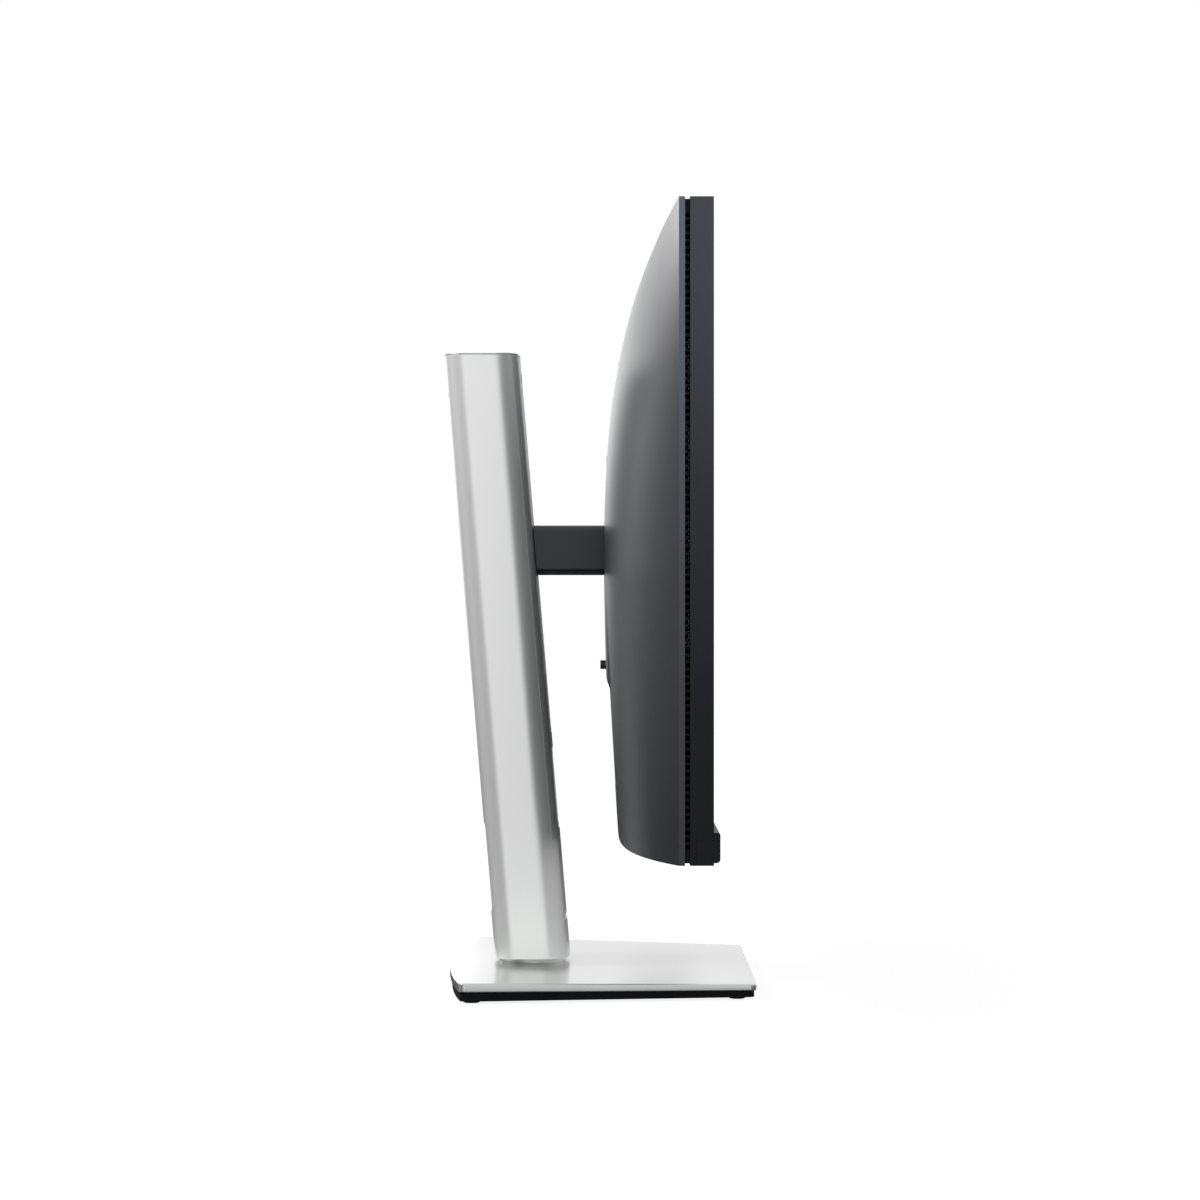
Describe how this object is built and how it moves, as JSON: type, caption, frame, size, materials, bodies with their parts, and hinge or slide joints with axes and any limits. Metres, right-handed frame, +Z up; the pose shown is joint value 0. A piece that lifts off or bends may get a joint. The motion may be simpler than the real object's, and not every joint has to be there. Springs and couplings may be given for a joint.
{
  "type": "computer monitor",
  "caption": "Flat widescreen desktop monitor with a bulged dark rear cover, on a leaning silver column that adjusts height, tilt and swivel.",
  "frame": {"origin": "middle of the footprint at desk level", "axes": "+Z up, the screen faces -Y, +X to the right of a person looking at the screen"},
  "size_m": [0.6112, 0.1869, 0.4475],
  "materials": {
    "dark_plastic": "fine moulded texture",
    "frame_plastic": "fine moulded texture",
    "black_plastic": "matte",
    "button_plastic": "satin",
    "lens_plastic": "clear white",
    "screen_glass": "anti-glare",
    "film": "diffuse white film",
    "acrylic": "clear",
    "sheet_steel": "zinc plated",
    "dark_steel": "black painted",
    "bright_steel": "turned",
    "spring_steel": "spring steel",
    "circuit_board": "solder mask",
    "power_circuit_board": "paper laminate",
    "cable_film": "film cable",
    "washer_plastic": "self-lubricating plastic",
    "silver_paint": "satin silver paint",
    "silver_base": "satin silver paint",
    "rubber": "matte"
  },
  "bodies": {
    "base": {"base_cover": "silver_base", "weight_plate": "dark_steel", "base_tray": "black_plastic", "rubber_feet": "rubber", "base_screws": "bright_steel", "swivel_washer": "washer_plastic", "swivel_retainer": "sheet_steel"},
    "column": {"column_shell": "silver_paint", "column_front": "silver_paint", "column_lower_front": "silver_paint", "column_cap": "silver_paint", "column_foot": "silver_paint", "swivel_hub": "silver_paint", "slide_rails": "bright_steel", "spring_strips": "spring_steel"},
    "thumbscrew": {"thumbscrew": "black_plastic"},
    "thumbscrew_handle": {"thumbscrew_handle": "bright_steel"},
    "arm": {"carriage": "black_plastic", "slot_cover": "black_plastic", "spring_rolls": "spring_steel", "arm_bracket": "dark_steel", "arm_cover_left": "dark_plastic", "arm_cover_right": "dark_plastic", "tilt_pin": "bright_steel", "tilt_springs": "spring_steel"},
    "tilt_head": {"tilt_bracket": "dark_steel", "pivot_shaft": "bright_steel", "pivot_nut": "bright_steel", "pivot_washer": "washer_plastic"},
    "display": {"rear_cover": "dark_plastic", "middle_frame": "frame_plastic", "vent_grille": "black_plastic", "chin_bezel": "frame_plastic", "lcd_panel": "screen_glass", "optical_sheets": "film", "light_guide": "acrylic", "led_strip": "film", "panel_tray": "sheet_steel", "chassis": "sheet_steel", "vesa_plate": "sheet_steel", "main_board": "circuit_board", "power_board": "power_circuit_board", "power_inlet": "black_plastic", "video_ports": "bright_steel", "usb_ports": "bright_steel", "panel_cable": "cable_film", "board_screws": "bright_steel", "control_board": "circuit_board", "joystick_base": "black_plastic", "power_led_lens": "lens_plastic", "cover_screws": "bright_steel", "quick_release_plate": "dark_steel", "plate_trim": "dark_plastic", "release_spring": "spring_steel"},
    "release_button": {"release_button": "button_plastic"},
    "release_latch": {"release_latch": "bright_steel"},
    "power_button": {"power_button": "button_plastic"},
    "joystick_gimbal": {"joystick_gimbal": "washer_plastic"},
    "joystick_stem": {"joystick_stem": "washer_plastic"},
    "joystick_cap": {"joystick_cap": "button_plastic"}
  },
  "joints": [
    {"name": "swivel", "type": "hinge", "parent": "base", "child": "column", "pos_m": [0, 0.0395, 0.0155], "axis": [0, 0, 1], "range_deg": [-45, 45]},
    {"name": "height", "type": "slide", "parent": "column", "child": "arm", "axis": [0, 0.0837, 0.9965], "range_m": [-0.06, 0.09], "deforming": ["spring_strips"]},
    {"name": "tilt", "type": "hinge", "parent": "arm", "child": "tilt_head", "pos_m": [0, -0.011, 0.2637], "axis": [1, 0, 0], "range_deg": [-21, 5]},
    {"name": "pivot", "type": "hinge", "parent": "tilt_head", "child": "display", "pos_m": [0, -0.011, 0.2637], "axis": [0, -1, 0], "range_deg": [-4, 4]},
    {"name": "release_press", "type": "slide", "parent": "display", "child": "release_button", "axis": [0, -1, 0], "range_m": [0, 0.0025], "stiffness_N_per_m": 900, "deforming": ["release_spring"]},
    {"name": "latch_drop", "type": "slide", "parent": "display", "child": "release_latch", "axis": [0, 0, -1], "range_m": [0, 0.004]},
    {"name": "power_press", "type": "slide", "parent": "display", "child": "power_button", "axis": [0, 0, 1], "range_m": [0, 0.0006], "stiffness_N_per_m": 1500},
    {"name": "joystick_up_down", "type": "hinge", "parent": "display", "child": "joystick_gimbal", "pos_m": [0.25, -0.0345, 0.118], "axis": [1, 0, 0], "range_deg": [-5, 5], "stiffness_Nm_per_rad": 0.05},
    {"name": "joystick_left_right", "type": "hinge", "parent": "joystick_gimbal", "child": "joystick_stem", "pos_m": [0.25, -0.0345, 0.118], "axis": [0, 0, 1], "range_deg": [-5, 5], "stiffness_Nm_per_rad": 0.05},
    {"name": "joystick_press", "type": "slide", "parent": "joystick_stem", "child": "joystick_cap", "axis": [0, -1, 0], "range_m": [0, 0.0006], "stiffness_N_per_m": 900},
    {"name": "thumbscrew_turn", "type": "hinge", "parent": "column", "child": "thumbscrew", "pos_m": [0, 0.0395, 0.0055], "axis": [0, 0, 1], "continuous": true},
    {"name": "thumbscrew_handle_flip", "type": "hinge", "parent": "thumbscrew", "child": "thumbscrew_handle", "pos_m": [0, 0.0475, 0.0027], "axis": [1, 0, 0], "range_deg": [0, 90]}
  ],
  "couplings": [
    {"joint": "latch_drop", "follows": "release_press", "ratio": 1.6}
  ]
}
